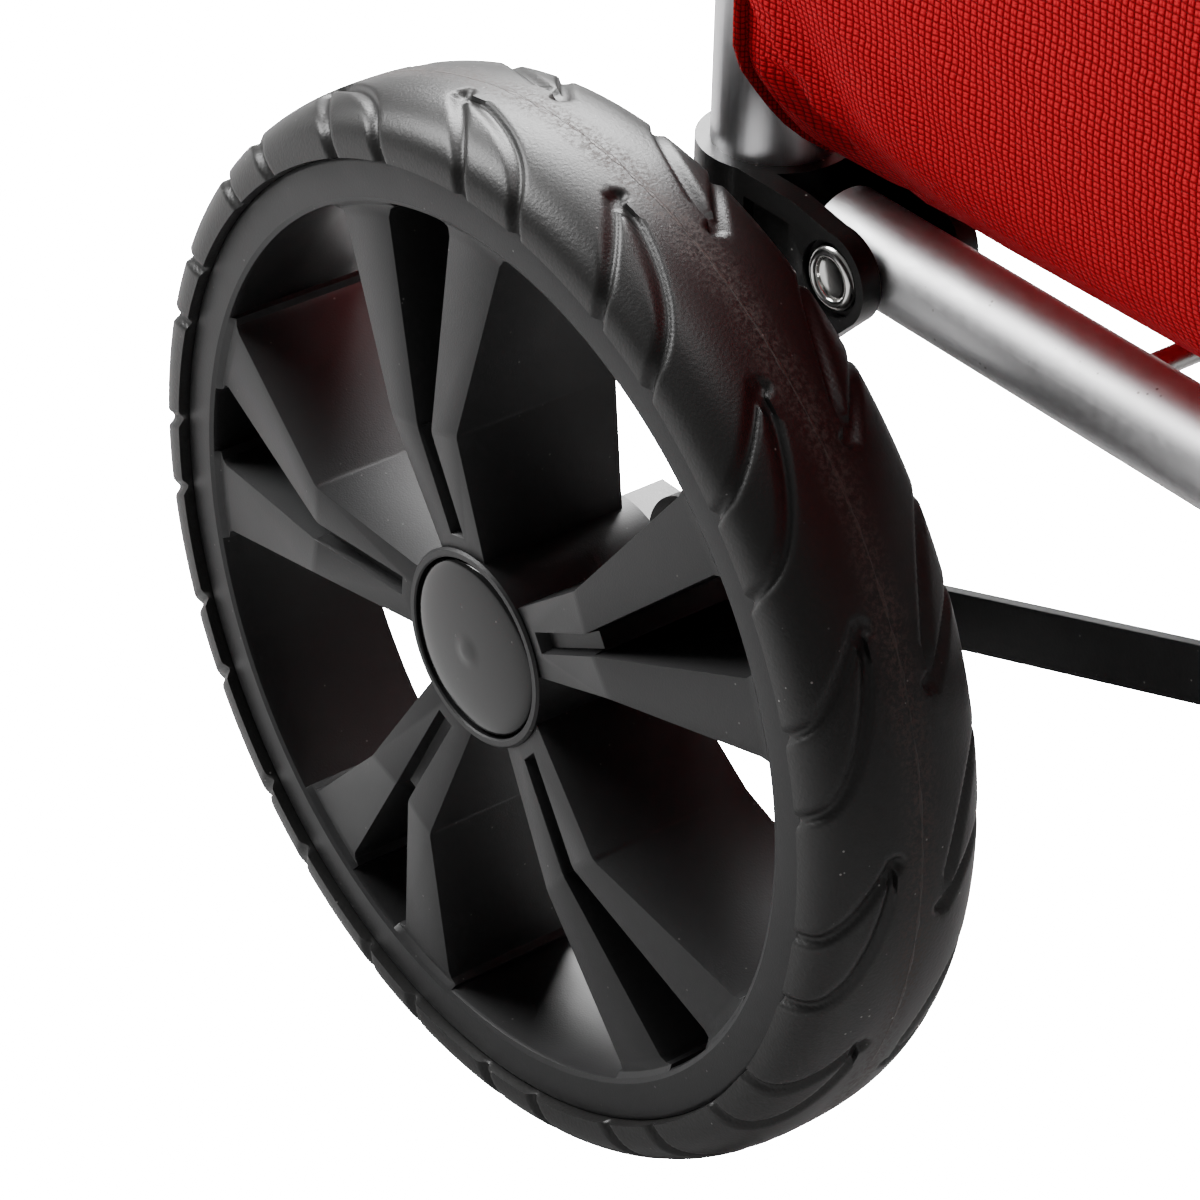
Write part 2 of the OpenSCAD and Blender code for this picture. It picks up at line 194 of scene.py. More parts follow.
def sum_of(tree, operation, first, second=None, third=None, clamp=False):
    node = tree.nodes.new("ShaderNodeMath")
    node.operation = operation
    node.use_clamp = clamp
    for socket, value in zip(node.inputs, (first, second, third)):
        if value is None:
            continue
        if isinstance(value, (int, float)):
            socket.default_value = value
        else:
            tree.links.new(value, socket)
    return node.outputs[0]


def step_between(tree, value, low, high):
    """0 below low, 1 above high, and a soft step between them."""
    node = tree.nodes.new("ShaderNodeMapRange")
    node.interpolation_type = "SMOOTHSTEP"
    node.inputs["From Min"].default_value = low
    node.inputs["From Max"].default_value = high
    tree.links.new(value, node.inputs["Value"])
    return node.outputs["Result"]


def mix_colours(tree, share, first, second):
    node = tree.nodes.new("ShaderNodeMix")
    node.data_type = "RGBA"
    tree.links.new(share, node.inputs["Factor"])
    colour_in = [s for s in node.inputs if s.type == "RGBA"]
    for socket, value in zip(colour_in, (first, second)):
        if isinstance(value, tuple):
            socket.default_value = value
        else:
            tree.links.new(value, socket)
    return [s for s in node.outputs if s.type == "RGBA"][0]


def object_place(tree):
    return tree.nodes.new("ShaderNodeTexCoord").outputs["Object"]


def stretched(tree, place, scale):
    node = tree.nodes.new("ShaderNodeMapping")
    node.inputs["Scale"].default_value = scale
    tree.links.new(place, node.inputs["Vector"])
    return node.outputs["Vector"]


def noise(tree, place, scale, detail=3.0, rough=0.55):
    node = tree.nodes.new("ShaderNodeTexNoise")
    node.inputs["Scale"].default_value = scale
    node.inputs["Detail"].default_value = detail
    node.inputs["Roughness"].default_value = rough
    tree.links.new(place, node.inputs["Vector"])
    return node.outputs[0]


def bump(tree, shader, height, distance):
    node = tree.nodes.new("ShaderNodeBump")
    node.inputs["Distance"].default_value = distance
    node.inputs["Strength"].default_value = 1.0
    tree.links.new(height, node.inputs["Height"])
    tree.links.new(node.outputs["Normal"], shader.inputs["Normal"])


print("finish helpers are ready")

# %% [markdown]
# Moulded plastic and rubber are never quite smooth: the mould leaves a fine grain, and handling
# leaves pale specks of dust. One group makes both, with the grain's size and the dust's amount as
# its values.

# %% Grain and dust
def make_grain_group():
    group, inside, outside = new_group(
        "mould_grain",
        [("Place", "NodeSocketVector", None), ("Grain Size", "NodeSocketFloat", 2500.0),
         ("Dust", "NodeSocketFloat", 0.3)],
        [("Height", "NodeSocketFloat"), ("Shade", "NodeSocketFloat"), ("Specks", "NodeSocketFloat")],
    )
    place = inside.outputs["Place"]
    grain = group.nodes.new("ShaderNodeTexNoise")
    grain.inputs["Detail"].default_value = 2
    group.links.new(place, grain.inputs["Vector"])
    group.links.new(inside.outputs["Grain Size"], grain.inputs["Scale"])
    cloud = noise(group, place, 38, 4)
    dots = group.nodes.new("ShaderNodeTexVoronoi")
    dots.inputs["Scale"].default_value = 420
    group.links.new(place, dots.inputs["Vector"])
    near = step_between(group, dots.outputs["Distance"], 0.12, 0.05)
    rare = step_between(group, noise(group, place, 130, 2), 0.56, 0.66)
    specks = sum_of(group, "MULTIPLY", near, rare)
    dust = sum_of(group, "MULTIPLY", specks, inside.outputs["Dust"], clamp=True)
    group.links.new(grain.outputs[0], outside.inputs["Height"])
    group.links.new(cloud, outside.inputs["Shade"])
    group.links.new(dust, outside.inputs["Specks"])
    return group


grain_group = make_grain_group()


def moulded_finish(name, dark, pale, rough, grain_size=2600.0, dust=0.5, grain_depth=0.03 * MM, **fixed):
    finish, tree, shader = new_finish(name, Roughness=rough, **fixed)
    grain = place_group(tree, grain_group, Grain_Size=grain_size, Dust=dust)
    tree.links.new(object_place(tree), grain.inputs["Place"])
    shaded = mix_colours(tree, grain.outputs["Shade"], dark, pale)
    dusty = mix_colours(tree, grain.outputs["Specks"], shaded, (0.42, 0.40, 0.38, 1))
    tree.links.new(dusty, shader.inputs["Base Color"])
    uneven = sum_of(tree, "MULTIPLY_ADD", grain.outputs["Shade"], 0.16, rough - 0.08)
    tree.links.new(uneven, shader.inputs["Roughness"])
    bump(tree, shader, grain.outputs["Height"], grain_depth)
    return finish


rim_plastic = moulded_finish("rim_plastic", (0.0075, 0.0075, 0.008, 1), (0.0115, 0.0115, 0.012, 1), 0.45,
                             dust=0.25)
cap_gloss = moulded_finish("cap_gloss", (0.003, 0.003, 0.003, 1), (0.005, 0.005, 0.005, 1), 0.14,
                           grain_size=900.0, dust=0.3, grain_depth=0.004 * MM)
bracket_nylon = moulded_finish("bracket_nylon", (0.005, 0.005, 0.005, 1), (0.010, 0.0095, 0.009, 1), 0.38,
                               dust=0.9)
black_steel = moulded_finish("black_steel", (0.004, 0.004, 0.0045, 1), (0.008, 0.008, 0.0085, 1), 0.36,
                             grain_size=1400.0, dust=0.7)
foot_rubber = moulded_finish("foot_rubber", (0.008, 0.008, 0.008, 1), (0.014, 0.0135, 0.013, 1), 0.7)
bush_plastic = moulded_finish("bush_plastic", (0.62, 0.61, 0.58, 1), (0.72, 0.71, 0.68, 1), 0.45, dust=0.0)
grip_foam = moulded_finish("grip_foam", (0.007, 0.007, 0.007, 1), (0.012, 0.012, 0.012, 1), 0.85,
                           grain_size=1300.0, grain_depth=0.25 * MM)
board_finish = moulded_finish("bag_board", (0.009, 0.009, 0.009, 1), (0.015, 0.0145, 0.014, 1), 0.8,
                              grain_size=1700.0, grain_depth=0.15 * MM)
print("moulded finishes:", rim_plastic.name, cap_gloss.name, bracket_nylon.name, grip_foam.name)

# %% [markdown]
# Tube is drawn and then brushed along its length, so its fine lines run with the tube. Noise that is
# stretched along one axis makes such lines. The uprights are vertical and the cross tubes lie along
# Y, so each finish says which way its lines run.

# %% Brushed and satin metal
def make_brush_group():
    group, inside, outside = new_group(
        "brush_lines",
        [("Place", "NodeSocketVector", None)],
        [("Lines", "NodeSocketFloat"), ("Cloud", "NodeSocketFloat"), ("Pits", "NodeSocketFloat")],
    )
    place = inside.outputs["Place"]
    lines = noise(group, place, 1.0, 4, 0.7)
    cloud = noise(group, place, 0.06, 3)
    dots = group.nodes.new("ShaderNodeTexVoronoi")
    dots.inputs["Scale"].default_value = 1.1
    group.links.new(place, dots.inputs["Vector"])
    near = step_between(group, dots.outputs["Distance"], 0.17, 0.08)
    pits = sum_of(group, "MULTIPLY", near, step_between(group, noise(group, place, 0.3, 2), 0.55, 0.65))
    group.links.new(lines, outside.inputs["Lines"])
    group.links.new(cloud, outside.inputs["Cloud"])
    group.links.new(pits, outside.inputs["Pits"])
    return group


brush_group = make_brush_group()


def metal_finish(name, lines_scale, colour, dull, rough, line_depth=0.01 * MM, pit_dark=0.4):
    finish, tree, shader = new_finish(name, Metallic=1.0, Roughness=rough)
    brush = place_group(tree, brush_group)
    tree.links.new(stretched(tree, object_place(tree), lines_scale), brush.inputs["Place"])
    shaded = mix_colours(tree, brush.outputs["Lines"], dull, colour)
    worn = sum_of(tree, "MULTIPLY", brush.outputs["Pits"], pit_dark)
    pitted = mix_colours(tree, worn, shaded, (0.25, 0.24, 0.23, 1))
    tree.links.new(pitted, shader.inputs["Base Color"])
    uneven = sum_of(tree, "MULTIPLY_ADD", brush.outputs["Lines"], 0.22, rough - 0.11)
    tree.links.new(uneven, shader.inputs["Roughness"])
    bump(tree, shader, brush.outputs["Lines"], line_depth)
    return finish


tube_brushed = metal_finish("tube_brushed", (2600, 2600, 60), (0.84, 0.84, 0.85, 1), (0.66, 0.66, 0.68, 1),
                            0.34)
tube_satin = metal_finish("tube_satin", (420, 420, 420), (0.80, 0.80, 0.81, 1), (0.70, 0.70, 0.71, 1), 0.46,
                          line_depth=0.006 * MM, pit_dark=0.8)
steel_bright = metal_finish("steel_bright", (900, 300, 900), (0.70, 0.69, 0.67, 1), (0.52, 0.51, 0.50, 1),
                            0.30)
rivet_plated = metal_finish("rivet_plated", (700, 700, 700), (0.86, 0.85, 0.83, 1), (0.74, 0.73, 0.71, 1),
                            0.16, line_depth=0.003 * MM)
print("metal finishes:", tube_brushed.name, tube_satin.name, steel_bright.name, rivet_plated.name)

# %% [markdown]
# The tyre is a harder, drier black than the rim. Rolling has left a grey-brown band of dust along the
# crown, and a thin parting line from the mould runs round its middle. The crown lies at one known
# distance from the truck's middle on both wheels, so the distance of a point from that plane places
# the dust.

# %% Tyre rubber
def tyre_finish():
    finish, tree, shader = new_finish("tyre_rubber", Roughness=0.62)
    place = object_place(tree)
    grain = place_group(tree, grain_group, Grain_Size=1500.0, Dust=0.45)
    tree.links.new(place, grain.inputs["Place"])
    apart = tree.nodes.new("ShaderNodeSeparateXYZ")
    tree.links.new(place, apart.inputs["Vector"])
    crown_y = face_y + tyre_proud - tyre_half
    across = sum_of(tree, "ABSOLUTE", apart.outputs["Y"])
    off_crown = sum_of(tree, "ABSOLUTE", sum_of(tree, "SUBTRACT", across, crown_y))
    wander = sum_of(tree, "MULTIPLY_ADD", noise(tree, place, 60, 3), 5 * MM, off_crown)
    rolled = step_between(tree, wander, 8.5 * MM, 3.5 * MM)
    powder = step_between(tree, noise(tree, place, 1100, 3, 0.8), 0.42, 0.66)
    dusty = sum_of(tree, "MULTIPLY", rolled, powder)
    shaded = mix_colours(tree, grain.outputs["Shade"], (0.0075, 0.0073, 0.007, 1), (0.012, 0.0115, 0.011, 1))
    rolled_on = mix_colours(tree, sum_of(tree, "MULTIPLY", dusty, 0.7), shaded, (0.085, 0.062, 0.055, 1))
    line_off = sum_of(tree, "MULTIPLY_ADD", noise(tree, place, 240, 2), 1.2 * MM, off_crown)
    line = step_between(tree, line_off, 0.95 * MM, 0.70 * MM)
    lined = mix_colours(tree, sum_of(tree, "MULTIPLY", line, 0.2), rolled_on, (0.16, 0.12, 0.105, 1))
    specked = mix_colours(tree, grain.outputs["Specks"], lined, (0.6, 0.58, 0.56, 1))
    tree.links.new(specked, shader.inputs["Base Color"])
    rough = sum_of(tree, "MULTIPLY_ADD", dusty, 0.3, 0.42)
    tree.links.new(rough, shader.inputs["Roughness"])
    height = sum_of(tree, "ADD", grain.outputs["Height"], sum_of(tree, "MULTIPLY", line, 1.5))
    bump(tree, shader, height, 0.06 * MM)
    return finish


tyre_rubber = tyre_finish()
print("tyre finish:", tyre_rubber.name)

# %% [markdown]
# The bag is a coarse basket weave: pairs of threads pass over and under each other, with a pinhole
# where four pairs meet. Shade is painted into the weave: the low parts of the threads are darker, the
# raised tops brighter, and the pinholes are painted dark as shade. The pattern is worked out from the
# cloth's own flat coordinates, which are stored on the mesh before the bag sags, so that the threads
# follow the cloth.

# %% Woven cloth
def make_weave_group():
    group, inside, outside = new_group(
        "basket_weave",
        [("Flat", "NodeSocketVector", None), ("Pitch", "NodeSocketFloat", 1.9 * MM)],
        [("Height", "NodeSocketFloat"), ("Gap", "NodeSocketFloat")],
    )
    apart = group.nodes.new("ShaderNodeSeparateXYZ")
    group.links.new(inside.outputs["Flat"], apart.inputs["Vector"])
    wobble = sum_of(group, "MULTIPLY_ADD", noise(group, inside.outputs["Flat"], 90, 2), 1.2, -0.6)
    cell = []
    for axis in ("X", "Y"):
        pitches = sum_of(group, "DIVIDE", apart.outputs[axis], inside.outputs["Pitch"])
        cell.append(sum_of(group, "ADD", pitches, wobble))
    whole = [sum_of(group, "FLOOR", value) for value in cell]
    part = [sum_of(group, "SUBTRACT", value, floor_of) for value, floor_of in zip(cell, whole)]
    odd = sum_of(group, "FLOORED_MODULO", sum_of(group, "ADD", whole[0], whole[1]), 2.0)
    turned = sum_of(group, "SUBTRACT", 1.0, odd)
    arch = [sum_of(group, "SINE", sum_of(group, "MULTIPLY", value, math.pi)) for value in part]
    pair = []
    for value in part:
        twice = sum_of(group, "FRACT", sum_of(group, "MULTIPLY", value, 2.0))
        pair.append(sum_of(group, "SINE", sum_of(group, "MULTIPLY", twice, math.pi)))
    heights = []
    for across, along in ((0, 1), (1, 0)):
        round_top = sum_of(group, "POWER", arch[across], 0.35)
        threads = sum_of(group, "MULTIPLY_ADD", pair[across], 0.22, 0.78)
        over = sum_of(group, "POWER", arch[along], 0.6)
        heights.append(sum_of(group, "MULTIPLY", sum_of(group, "MULTIPLY", round_top, threads), over))
    height = sum_of(group, "ADD", sum_of(group, "MULTIPLY", heights[0], odd),
                    sum_of(group, "MULTIPLY", heights[1], turned))
    # The gap mask marks the hollows between threads, which the cloth finishes paint dark as shade.
    gap = step_between(group, height, 0.34, 0.12)
    group.links.new(height, outside.inputs["Height"])
    group.links.new(gap, outside.inputs["Gap"])
    return group


weave_group = make_weave_group()


def woven_finish(name, thread_shade_colour, thread_lit_colour, gap_shade_colour, pitch, depth, rough=0.9):
    finish, tree, shader = new_finish(name, Roughness=rough, Specular_IOR_Level=0.12)
    flat = tree.nodes.new("ShaderNodeUVMap")
    flat.uv_map = "cloth"
    weave = place_group(tree, weave_group, Pitch=pitch)
    tree.links.new(flat.outputs["UV"], weave.inputs["Flat"])
    # Painted shade and light: low parts of each thread take the darker colour, raised tops the brighter one,
    # and the gaps are painted dark as shade.
    thread_lit_share = step_between(tree, weave.outputs["Height"], 0.25, 0.95)
    shaded = mix_colours(tree, thread_lit_share, thread_shade_colour, thread_lit_colour)
    gap_shaded = mix_colours(tree, weave.outputs["Gap"], shaded, gap_shade_colour)
    tree.links.new(gap_shaded, shader.inputs["Base Color"])
    bump(tree, shader, weave.outputs["Height"], depth)
    return finish


# Each cloth gets its red in painted shade, its red in painted light, and the painted shade of its gaps.
bag_fabric = woven_finish("bag_fabric", (0.44, 0.002, 0.009, 1), (0.80, 0.010, 0.024, 1),
                          (0.18, 0.0, 0.002, 1), 1.6 * MM, 0.4 * MM)
bag_webbing = woven_finish("bag_webbing", (0.22, 0.0, 0.002, 1), (0.46, 0.001, 0.004, 1),
                           (0.12, 0.0, 0.002, 1), 1.2 * MM, 0.3 * MM)
floor_finish, floor_tree, floor_shader = new_finish("studio_paper", Roughness=0.9, Specular_IOR_Level=0.0)
floor_shader.inputs["Emission Color"].default_value = (1, 1, 1, 1)
seen = floor_tree.nodes.new("ShaderNodeLightPath").outputs["Is Camera Ray"]
floor_tree.links.new(sum_of(floor_tree, "MULTIPLY", seen, 40.0), floor_shader.inputs["Emission Strength"])
paper = mix_colours(floor_tree, noise(floor_tree, object_place(floor_tree), 3, 2),
                    (0.44, 0.44, 0.44, 1), (0.46, 0.46, 0.46, 1))
floor_tree.links.new(paper, floor_shader.inputs["Base Color"])
floor.data.materials.append(floor_finish)
print("cloth finishes:", bag_fabric.name, bag_webbing.name)

# %% [markdown]
# ## Making pieces
#
# One helper turns a bmesh into a finished object that rides on its body, and another rounds its hard
# edges. A third takes the engineering model's own shape, joins its loose triangles and rounds it,
# which is right for turned and drilled parts whose shape is already exact.

# %% Helpers for pieces
def dress(piece, finish, smooth_below=35):
    piece.data.materials.append(finish)
    piece.data.shade_smooth()
    piece.data.set_sharp_from_angle(angle=math.radians(smooth_below))


def finished_piece(name, bm, finish, body, stands_for=(), smooth_below=35):
    mesh = bpy.data.meshes.new(name)
    bm.to_mesh(mesh)
    bm.free()
    piece = bpy.data.objects.new(name, mesh)
    bpy.context.scene.collection.objects.link(piece)
    dress(piece, finish, smooth_below)
    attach(piece, body)
    if stands_for:
        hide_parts(*stands_for)
    print(name, "has", len(mesh.polygons), "faces")
    return piece


def round_edges(piece, width):
    bevel = piece.modifiers.new("round_edges", "BEVEL")
    bevel.width = width
    bevel.segments = 2
    bevel.limit_method = "ANGLE"
    bevel.angle_limit = math.radians(40)
    bevel.harden_normals = True
    bevel.use_clamp_overlap = True
    return bevel


def thicken(piece, thickness, offset=0):
    wall = piece.modifiers.new("wall", "SOLIDIFY")
    wall.thickness = thickness
    wall.offset = offset


def piece_from_node(node, finish):
    bm = bmesh.new()
    bm.from_mesh(frame["nodes"][node].data)
    bmesh.ops.remove_doubles(bm, verts=bm.verts, dist=0.003 * MM)
    bmesh.ops.dissolve_limit(bm, angle_limit=math.radians(0.4), verts=bm.verts, edges=bm.edges)
    piece = finished_piece(node + "_piece", bm, finish, body_of_node[node], (node,))
    round_edges(piece, 0.35 * MM)


plain_nodes = {
    tube_brushed: ["right_upright", "left_upright", "lower_cross_tube", "upper_cross_tube", "handle_tube"],
    tube_satin: ["platform_tube", "stand_tube"],
    steel_bright: ["axle", "axle_spacers", "axle_push_nuts", "strut_bolts", "strut_spacers", "lug_pins",
                   "bracket_pins", "platform_rods", "stand_rod", "rod_end_caps"],
    black_steel: ["stand_hangers", "right_strut", "left_strut"],
    bracket_nylon: ["handle_collars", "loop_hooks", "right_axle_bracket", "left_axle_bracket",
                    "right_pivot_bracket", "left_pivot_bracket"],
    bush_plastic: ["right_hub_bushes", "left_hub_bushes", "stand_bushes"],
    foot_rubber: ["stand_feet"],
}
for finish, names in plain_nodes.items():
    for node in names:
        piece_from_node(node, finish)

# %% [markdown]
# ## The wheels
#
# A wheel piece is drawn lying flat: X is forward, Y is up the wheel, and Z comes out of its face.
# Standing it up is one quarter turn. The left wheel is the right one mirrored, and a mirrored
# mesh has its faces turned the right way round again.

# %% Standing a wheel piece up
def tip_over(bm, degrees=90):
    """Turns a piece that was spun about Z until its axis lies along Y."""
    quarter = Matrix.Rotation(math.radians(degrees), 3, "X")
    bmesh.ops.rotate(bm, cent=(0, 0, 0), matrix=quarter, verts=bm.verts)


def stand_up(bm, side):
    tip_over(bm)
    bmesh.ops.translate(bm, vec=wheel_face, verts=bm.verts)
    if side == "left":
        bmesh.ops.scale(bm, vec=(1, -1, 1), verts=bm.verts)
    bmesh.ops.recalc_face_normals(bm, faces=bm.faces)


def turned(profile, steps=128, closed=True):
    """Spins an outline of (radius, height) points about Z. An outline that isn't closed starts and
    ends on the axis, and makes a solid."""
    bm = bmesh.new()
    verts = [bm.verts.new((radius, 0, height)) for radius, height in profile]
    ends = verts[1:] + verts[:1] if closed else verts[1:]
    edges = [bm.edges.new(pair) for pair in zip(verts, ends)]
    bmesh.ops.spin(bm, geom=verts + edges, cent=(0, 0, 0), axis=(0, 0, 1), dvec=(0, 0, 0),
                   angle=2 * math.pi, steps=steps, use_merge=True)
    if not closed:
        bmesh.ops.remove_doubles(bm, verts=bm.verts, dist=0.001 * MM)
    bmesh.ops.recalc_face_normals(bm, faces=bm.faces)
    return bm


def add_to(whole, part):
    """Adds one bmesh to another."""
    mesh = bpy.data.meshes.new("part")
    part.to_mesh(mesh)
    part.free()
    whole.from_mesh(mesh)
    bpy.data.meshes.remove(mesh)


print("wheel helpers are ready")

# %% [markdown]
# Five twin spokes hold the rim. Each twin leaves the hub as one stem with a groove down its middle,
# rises to a crease that stands proud of the face, and then splits into two arms that fall away to the
# rim. The upper face is drawn from its few corner points and pulled down to the full depth of the
# wheel, and the crease and the rims of the faces are bevelled by different amounts.

# %% One twin spoke
stem_start = 19.3 * MM
stem_half = 7.0 * MM
groove_start = 23.5 * MM
groove_half = 2.2 * MM
groove_depth = 3.2 * MM
crease_at = 47.8 * MM
crease_half = 10.5 * MM
fork_at = 46.9 * MM
arm_end = 88.5 * MM
arm_inner = math.radians(6.45)
arm_outer = math.radians(16.6)
stem_sink = -0.6 * MM
arm_sink = -1.6 * MM
corner_r = 2.2 * MM


def on_circle(radius, angle, height):
    return Vector((radius * math.cos(angle), radius * math.sin(angle), height))


def twin_spoke():
    bm = bmesh.new()
    crown = spoke_crown

    def point(x, y, z):
        return bm.verts.new((x, y, z))

    edges_soft = []
    tops = []
    groove_floor = []
    for up in (1, -1):
        root = point(stem_start, up * stem_half, stem_sink)
        root_in = point(stem_start, up * groove_half, stem_sink)
        slot_start = point(groove_start, up * groove_half, stem_sink + 0.6 * MM)
        fork = point(fork_at, up * groove_half, crown)
        crease = point(crease_at, up * crease_half, crown)
        flare = corner_r / arm_end
        inner_side = [on_circle(arm_end - corner_r, arm_inner, arm_sink + 0.3 * MM),
                      on_circle(arm_end - 0.3 * corner_r, arm_inner - 0.3 * flare, arm_sink),
                      on_circle(arm_end, arm_inner - flare, arm_sink)]
        outer_side = [on_circle(arm_end, arm_outer + flare, arm_sink),
                      on_circle(arm_end - 0.3 * corner_r, arm_outer + 0.3 * flare, arm_sink),
                      on_circle(arm_end - corner_r, arm_outer, arm_sink + 0.3 * MM)]
        between = [on_circle(arm_end, arm_inner + share * (arm_outer - arm_inner), arm_sink)
                   for share in (0.0, 0.33, 0.66, 1.0)]
        outline = [point(p.x, up * p.y, p.z) for p in inner_side + between + outer_side]
        stem_face = [root_in, slot_start, fork, crease, root]
        arm_face = [fork] + outline + [crease]
        if up < 0:
            stem_face.reverse()
            arm_face.reverse()
        tops += [bm.faces.new(stem_face), bm.faces.new(arm_face)]
        edges_soft.append((fork, crease))
        groove_floor.append((root_in, slot_start, fork))
        rim_row = outline[2:-2]
        end_row = [point(v.co.x * 1.012, v.co.y * 1.012, v.co.z + 1.2 * MM) for v in rim_row]
        for a, b, c, d in zip(rim_row, rim_row[1:], end_row[1:], end_row):
            quad = [a, b, c, d] if up < 0 else [d, c, b, a]
            tops.append(bm.faces.new(quad))
    (root_a, start_a, fork_a), (root_b, start_b, fork_b) = groove_floor
    tops.append(bm.faces.new([root_b, start_b, start_a, root_a]))
    floor_start = [point(groove_start + 0.8 * MM, s * groove_half * 0.8, stem_sink - groove_depth * 0.6)
                   for s in (1, -1)]
    floor_end = [point(fork_at, s * groove_half * 0.8, crown - groove_depth) for s in (1, -1)]
    tops.append(bm.faces.new([start_a, start_b, floor_start[1], floor_start[0]]))
    tops.append(bm.faces.new([floor_start[0], floor_start[1], floor_end[1], floor_end[0]]))
    tops.append(bm.faces.new([start_a, floor_start[0], floor_end[0], fork_a]))
    tops.append(bm.faces.new([floor_start[1], start_b, fork_b, floor_end[1]]))
    bmesh.ops.recalc_face_normals(bm, faces=bm.faces)
    if sum(face.normal.z for face in bm.faces) < 0:
        bmesh.ops.reverse_faces(bm, faces=bm.faces)
    border = [edge for edge in bm.edges if len(edge.link_faces) == 1]
    pulled = bmesh.ops.extrude_edge_only(bm, edges=border)
    low = [v for v in pulled["geom"] if isinstance(v, bmesh.types.BMVert)]
    for vert in low:
        vert.co.z = -rim_depth + 1 * MM
    creases = [bm.edges.get(pair) for pair in edges_soft]
    bmesh.ops.bevel(bm, geom=creases, offset=0.9 * MM, segments=3, profile=0.5, affect="EDGES", material=-1)
    sharp = [edge for edge in bm.edges if len(edge.link_faces) == 2
             and edge.calc_face_angle(0) > math.radians(50) and max(v.co.z for v in edge.verts) > -3 * MM
             and abs(edge.verts[0].co.z - edge.verts[1].co.z) < 6 * MM]
    bmesh.ops.bevel(bm, geom=sharp, offset=0.45 * MM, segments=2, profile=0.5, affect="EDGES", material=-1,
                    clamp_overlap=True)
    bmesh.ops.recalc_face_normals(bm, faces=bm.faces)
    return bm


spoke_count = 5
spoke_phase = math.radians(31.1)
band_r = 89.2 * MM
hub_r = 20.6 * MM
hub_lip_r = 18.7 * MM


def make_rim(side):
    rim = bmesh.new()
    for turn_number in range(spoke_count):
        spoke = twin_spoke()
        angle = spoke_phase + turn_number * 2 * math.pi / spoke_count
        bmesh.ops.rotate(spoke, cent=(0, 0, 0), matrix=Matrix.Rotation(angle, 3, "Z"), verts=spoke.verts)
        add_to(rim, spoke)
    soft = 0.5 * MM
    band = turned([(band_r, -1.4 * MM), (band_r + 0.3 * MM, -0.5 * MM), (band_r + 1.2 * MM, 0),
                   (rim_radius - 2 * soft, 0), (rim_radius - soft, -0.15 * MM), (rim_radius, -soft),
                   (rim_radius, -rim_depth), (band_r + 2 * MM, -rim_depth),
                   (band_r + 1.0 * MM, -rim_depth / 2)], steps=192)
    add_to(rim, band)
    hub = turned([(hub_lip_r, -2.5 * MM), (hub_lip_r, 0.1 * MM), (hub_lip_r + 0.3 * MM, 0.4 * MM),
                  (hub_r - 0.5 * MM, 0.4 * MM), (hub_r, -0.1 * MM), (hub_r, -rim_depth - 1.8 * MM),
                  (7.2 * MM, -rim_depth - 1.8 * MM), (7.2 * MM, -5 * MM), (hub_lip_r, -5 * MM)], steps=128)
    add_to(rim, hub)
    stand_up(rim, side)
    return finished_piece(side + "_rim_piece", rim, rim_plastic, side + "_wheel",
                          (side + "_rim",), 28)


for side in ("right", "left"):
    make_rim(side)

# %% [markdown]
# The hub cap is a shallow dome of gloss plastic that presses into the hub. Spinning one short
# outline about the axle makes it, with a rounded edge that catches a thin line of light.

# %% Hub caps
cap_r = 18.2 * MM
cap_dome = 2.4 * MM


def make_cap(side):
    dome = [(cap_r * math.sin(a), cap_dome * math.cos(a)) for a in np.linspace(0.0, math.pi / 2, 14)]
    outline = [(0.0, cap_dome)] + [(r, z - 0.6 * MM) for r, z in dome[1:]]
    outline += [(cap_r, -3.9 * MM), (0.0, -3.9 * MM)]
    cap = turned(outline, 96, closed=False)
    stand_up(cap, side)
    return finished_piece(side + "_cap_piece", cap, cap_gloss, side + "_wheel",
                          (side + "_hub_cap",), 50)


for side in ("right", "left"):
    make_cap(side)

# %% [markdown]
# The tyre is solid rubber with leaf-shaped islands cut into both shoulders. A smooth section is spun
# into a ring of fine faces, and each face's corner is then pushed in by the depth of the tread at
# that place. Two curves that sweep together make one leaf's groove, and the inner shoulder has the
# same leaves turned half a turn.

# %% Tread
leaf_pitch = 24.0
leaf_start = -13.5
groove_wide = 1.9
groove_flank = 0.9
tread_deep = 1.35 * MM
tip_at = (17.9, 20.3)
section_power = 2.6
section_points = 85
round_steps = 960


def leaf_edge(along, start, lean, sweep, power):
    """One edge of a leaf: its angle in degrees at each place along the section, and its slope there."""
    swept = np.maximum(along - 5, 0)
    angle = start + lean * (along - 3) + sweep * swept**power
    slope = lean + sweep * power * swept**(power - 1)
    return angle, slope


def leaf_depth(angle, along):
    """Depth of the leaf groove, 0 to 1. angle is in degrees, along in mm from the tyre's outer edge."""
    local = np.mod(angle - leaf_start + 3, leaf_pitch) - 3
    mm_per_degree = (rim_radius / MM + 0.55 * np.minimum(along, 20)) * math.pi / 180
    lower, lower_slope = leaf_edge(along, 0.0, 0.25, 0.0203, 2.357)
    upper, upper_slope = leaf_edge(along, 9.25, 0.2, 0.111, 1.48)
    off_lower = np.abs(local - lower) * mm_per_degree / np.sqrt(1 + (lower_slope * mm_per_degree)**2)
    off_upper = np.abs(local - upper) * mm_per_degree / np.sqrt(1 + (upper_slope * mm_per_degree)**2)
    off_lower = np.where(along < tip_at[1], off_lower, 9.0)
    off_upper = np.where(along < tip_at[1] - 1.2, off_upper, 9.0)
    off_tip = np.hypot((local - tip_at[0]) * mm_per_degree, along - tip_at[1]) - 0.5
    inside_tip = (along > 18.3) & (along < tip_at[1]) & (local > lower) & (local < upper)
    off_tip = np.where(inside_tip, 0.0, off_tip)
    nearest = np.minimum(np.minimum(off_lower, off_upper), off_tip)
    share = np.clip((groove_wide / 2 + groove_flank - nearest) / (2 * groove_flank), 0, 1)
    return share * share * (3 - 2 * share)


